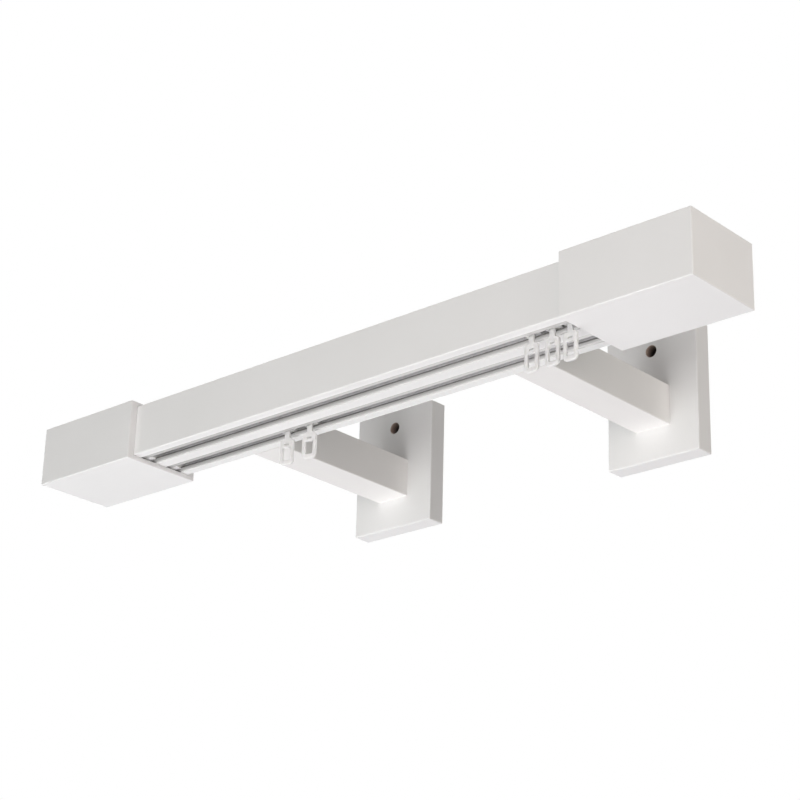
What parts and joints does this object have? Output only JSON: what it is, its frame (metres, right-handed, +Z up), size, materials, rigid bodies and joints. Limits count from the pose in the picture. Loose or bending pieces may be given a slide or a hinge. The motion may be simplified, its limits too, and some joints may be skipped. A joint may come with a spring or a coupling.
{
  "type": "double curtain rod",
  "caption": "Square white curtain rod with two glider tracks in its underside, block end caps and two wall brackets.",
  "frame": {"origin": "on the wall plane, midway between the two wall screw holes", "axes": "+X along the rod to the right as seen from the room, +Y into the wall, +Z up"},
  "size_m": [0.613, 0.2165, 0.1],
  "materials": {
    "white_lacquer": "satin white lacquer over wood board",
    "track_white": "satin, pale",
    "glider_plastic": "milky moulded plastic",
    "zinc_steel": "zinc plated",
    "beech": "raw beech"
  },
  "bodies": {
    "root": {"rod_body": "white_lacquer", "front_track": "track_white", "rear_track": "track_white", "left_end_cap": "white_lacquer", "right_end_cap": "white_lacquer", "left_cap_screw": "zinc_steel", "right_cap_screw": "zinc_steel", "front_track_screws": "zinc_steel", "rear_track_screws": "zinc_steel", "front_left_stop": "glider_plastic", "front_right_stop": "glider_plastic", "rear_left_stop": "glider_plastic", "rear_right_stop": "glider_plastic", "left_wall_plate": "white_lacquer", "right_wall_plate": "white_lacquer", "left_arm": "white_lacquer", "right_arm": "white_lacquer", "left_arm_screw": "zinc_steel", "right_arm_screw": "zinc_steel", "left_arm_dowels": "beech", "right_arm_dowels": "beech", "left_rod_stud": "zinc_steel", "right_rod_stud": "zinc_steel", "left_stud_lock": "zinc_steel", "right_stud_lock": "zinc_steel"},
    "rear_glider_left": {"rear_glider_left": "glider_plastic"},
    "rear_glider_right": {"rear_glider_right": "glider_plastic"},
    "front_glider_left": {"front_glider_left": "glider_plastic"},
    "front_glider_middle": {"front_glider_middle": "glider_plastic"},
    "front_glider_right": {"front_glider_right": "glider_plastic"}
  },
  "joints": [
    {"name": "rear_left_slide", "type": "slide", "parent": "root", "child": "rear_glider_left", "axis": [1, 0, 0], "range_m": [-0.1108, 0]},
    {"name": "rear_right_slide", "type": "slide", "parent": "root", "child": "rear_glider_right", "axis": [1, 0, 0], "range_m": [0, 0.2562]},
    {"name": "front_left_slide", "type": "slide", "parent": "root", "child": "front_glider_left", "axis": [1, 0, 0], "range_m": [-0.3593, 0]},
    {"name": "front_middle_slide", "type": "slide", "parent": "root", "child": "front_glider_middle", "axis": [1, 0, 0], "range_m": [-0.2397, 0]},
    {"name": "front_right_slide", "type": "slide", "parent": "root", "child": "front_glider_right", "axis": [1, 0, 0], "range_m": [-0.12, 0]}
  ],
  "couplings": [
    {"joint": "front_middle_slide", "follows": "front_left_slide", "ratio": 0.6667},
    {"joint": "front_right_slide", "follows": "front_left_slide", "ratio": 0.3333}
  ]
}
